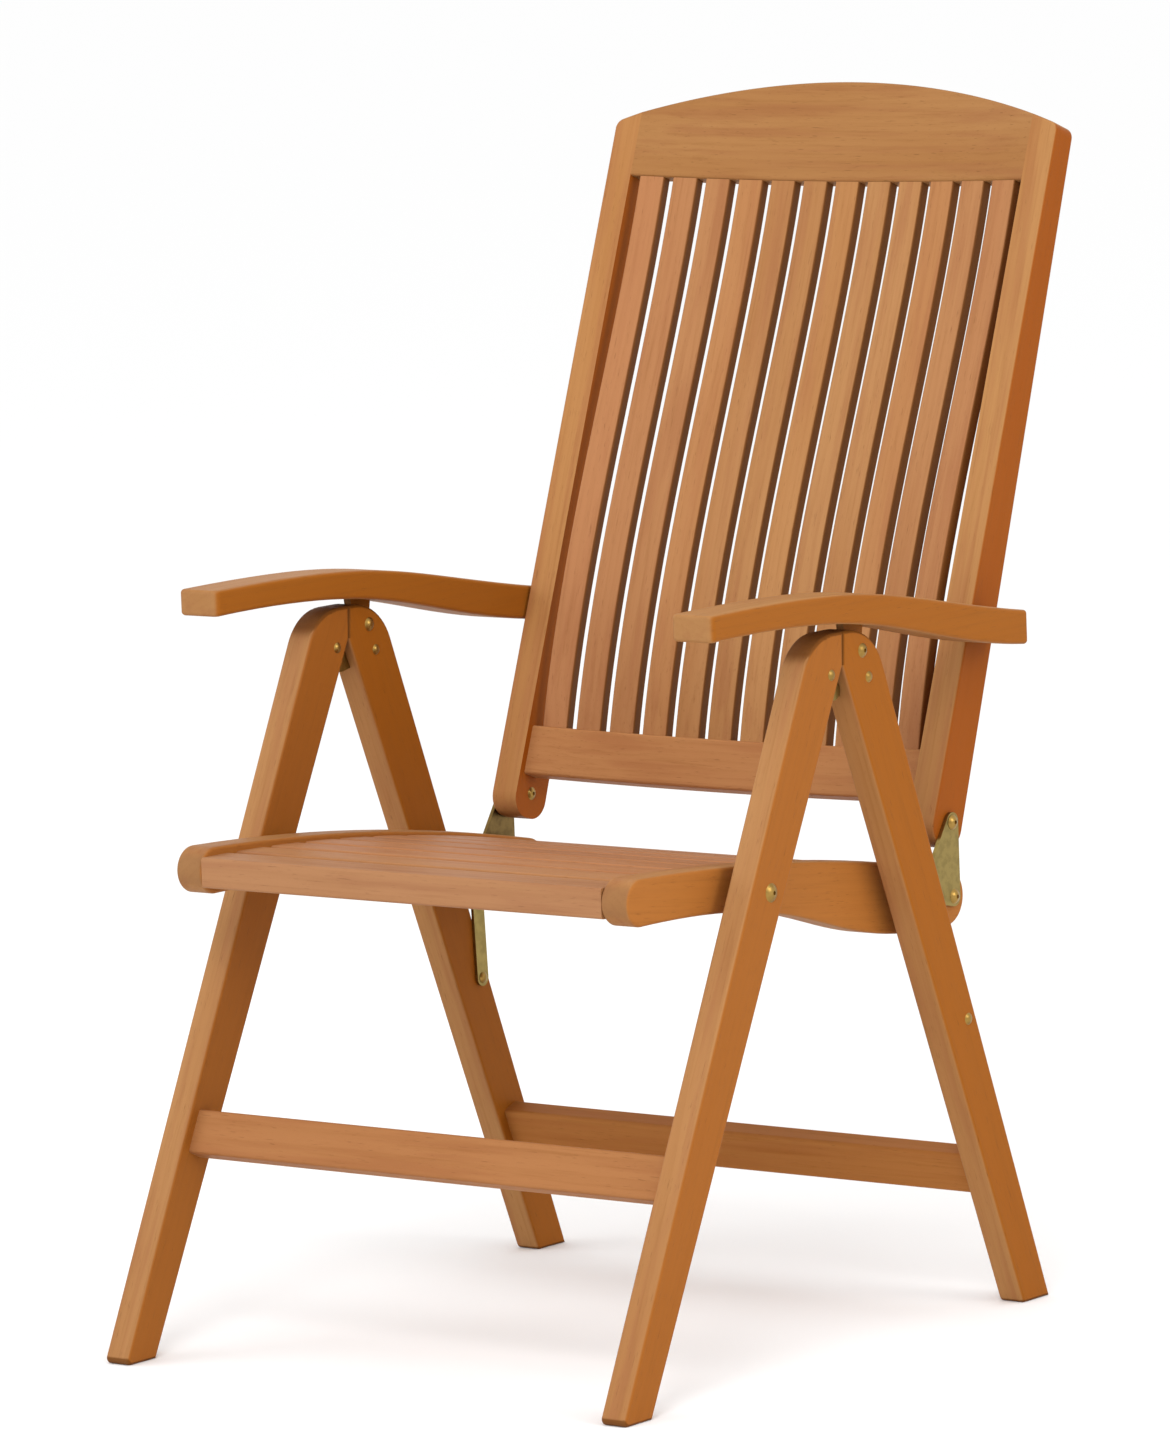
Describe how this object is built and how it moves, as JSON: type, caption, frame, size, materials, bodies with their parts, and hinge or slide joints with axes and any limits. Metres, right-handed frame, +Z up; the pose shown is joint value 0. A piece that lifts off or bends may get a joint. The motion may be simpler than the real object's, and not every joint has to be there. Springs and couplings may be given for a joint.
{
  "type": "folding high-back armchair",
  "caption": "Folding teak garden armchair with a high slatted back, slatted seat, curved armrests and brass pivots; legs, seat, back and arms fold together.",
  "frame": {"origin": "on the floor under the middle of the chair's box", "axes": "+Z up, the sitter faces -Y, +X to the viewer's right when seen from the front"},
  "size_m": [0.602, 0.818, 1.1009],
  "materials": {
    "teak_frame": "oiled satin",
    "teak_slats": "oiled satin",
    "brass": "aged satin"
  },
  "bodies": {
    "front_frame": {"front_leg_l": "teak_frame", "front_leg_r": "teak_frame", "front_stretcher": "teak_frame", "front_hinge_leaves": "brass", "front_hinge_rivets": "brass", "leg_hinge_pins": "brass", "seat_pivot_bolts": "brass", "seat_pivot_bushes": "brass"},
    "rear_frame": {"rear_leg_l": "teak_frame", "rear_leg_r": "teak_frame", "rear_stretcher": "teak_frame", "rear_hinge_leaves": "brass", "rear_hinge_rivets": "brass", "arm_pivot_bolts": "brass", "strap_lower_rivets": "brass"},
    "seat": {"seat_rail_l": "teak_frame", "seat_rail_r": "teak_frame", "seat_slat_01": "teak_slats", "seat_slat_02": "teak_slats", "seat_slat_03": "teak_slats", "seat_slat_04": "teak_slats", "seat_slat_05": "teak_slats", "seat_slat_06": "teak_slats", "seat_slat_07": "teak_slats", "seat_slat_08": "teak_slats", "seat_slat_09": "teak_slats", "seat_slat_10": "teak_slats", "back_plate_l": "brass", "back_plate_r": "brass", "plate_rail_bolts": "brass", "strap_bosses": "brass"},
    "back": {"back_stile_l": "teak_frame", "back_stile_r": "teak_frame", "crest_rail": "teak_frame", "bottom_rail": "teak_frame", "back_slat_01": "teak_slats", "back_slat_02": "teak_slats", "back_slat_03": "teak_slats", "back_slat_04": "teak_slats", "back_slat_05": "teak_slats", "back_slat_06": "teak_slats", "back_slat_07": "teak_slats", "back_slat_08": "teak_slats", "back_slat_09": "teak_slats", "back_slat_10": "teak_slats", "back_slat_11": "teak_slats", "back_slat_12": "teak_slats", "back_pivot_bolts": "brass", "arm_pins": "brass"},
    "left_strap": {"strap_l": "brass", "strap_cap_l": "brass"},
    "right_strap": {"strap_r": "brass", "strap_cap_r": "brass"},
    "left_arm": {"armrest_l": "teak_frame", "arm_tongue_l": "teak_frame"},
    "right_arm": {"armrest_r": "teak_frame", "arm_tongue_r": "teak_frame"}
  },
  "joints": [
    {"name": "leg_fold", "type": "hinge", "parent": "front_frame", "child": "rear_frame", "pos_m": [0, -0.05475, 0.59432], "axis": [-1, 0, 0], "range_deg": [0, 34]},
    {"name": "seat_fold", "type": "hinge", "parent": "front_frame", "child": "seat", "pos_m": [0, -0.17186, 0.431], "axis": [-1, 0, 0], "range_deg": [0, 39.2]},
    {"name": "strap_fold_l", "type": "hinge", "parent": "rear_frame", "child": "left_strap", "pos_m": [-0.28, 0.11977, 0.2745], "axis": [-1, 0, 0], "range_deg": [0, 66]},
    {"name": "strap_fold_r", "type": "hinge", "parent": "rear_frame", "child": "right_strap", "pos_m": [0.28, 0.11977, 0.2745], "axis": [-1, 0, 0], "range_deg": [0, 66]},
    {"name": "back_fold", "type": "hinge", "parent": "seat", "child": "back", "pos_m": [0, 0.15564, 0.447], "axis": [-1, 0, 0], "range_deg": [-45.8, 0]},
    {"name": "arm_fold_l", "type": "hinge", "parent": "rear_frame", "child": "left_arm", "pos_m": [-0.28, -0.024, 0.6268], "axis": [-1, 0, 0], "range_deg": [0, 17.9]},
    {"name": "arm_fold_r", "type": "hinge", "parent": "rear_frame", "child": "right_arm", "pos_m": [0.28, -0.024, 0.6268], "axis": [-1, 0, 0], "range_deg": [0, 17.9]}
  ],
  "couplings": [
    {"joint": "seat_fold", "follows": "leg_fold", "ratio": 1.1504},
    {"joint": "strap_fold_l", "follows": "leg_fold", "ratio": 1.9391},
    {"joint": "strap_fold_r", "follows": "leg_fold", "ratio": 1.9391},
    {"joint": "back_fold", "follows": "leg_fold", "ratio": -1.3441},
    {"joint": "arm_fold_l", "follows": "leg_fold", "ratio": 0.5239},
    {"joint": "arm_fold_r", "follows": "leg_fold", "ratio": 0.5239}
  ]
}
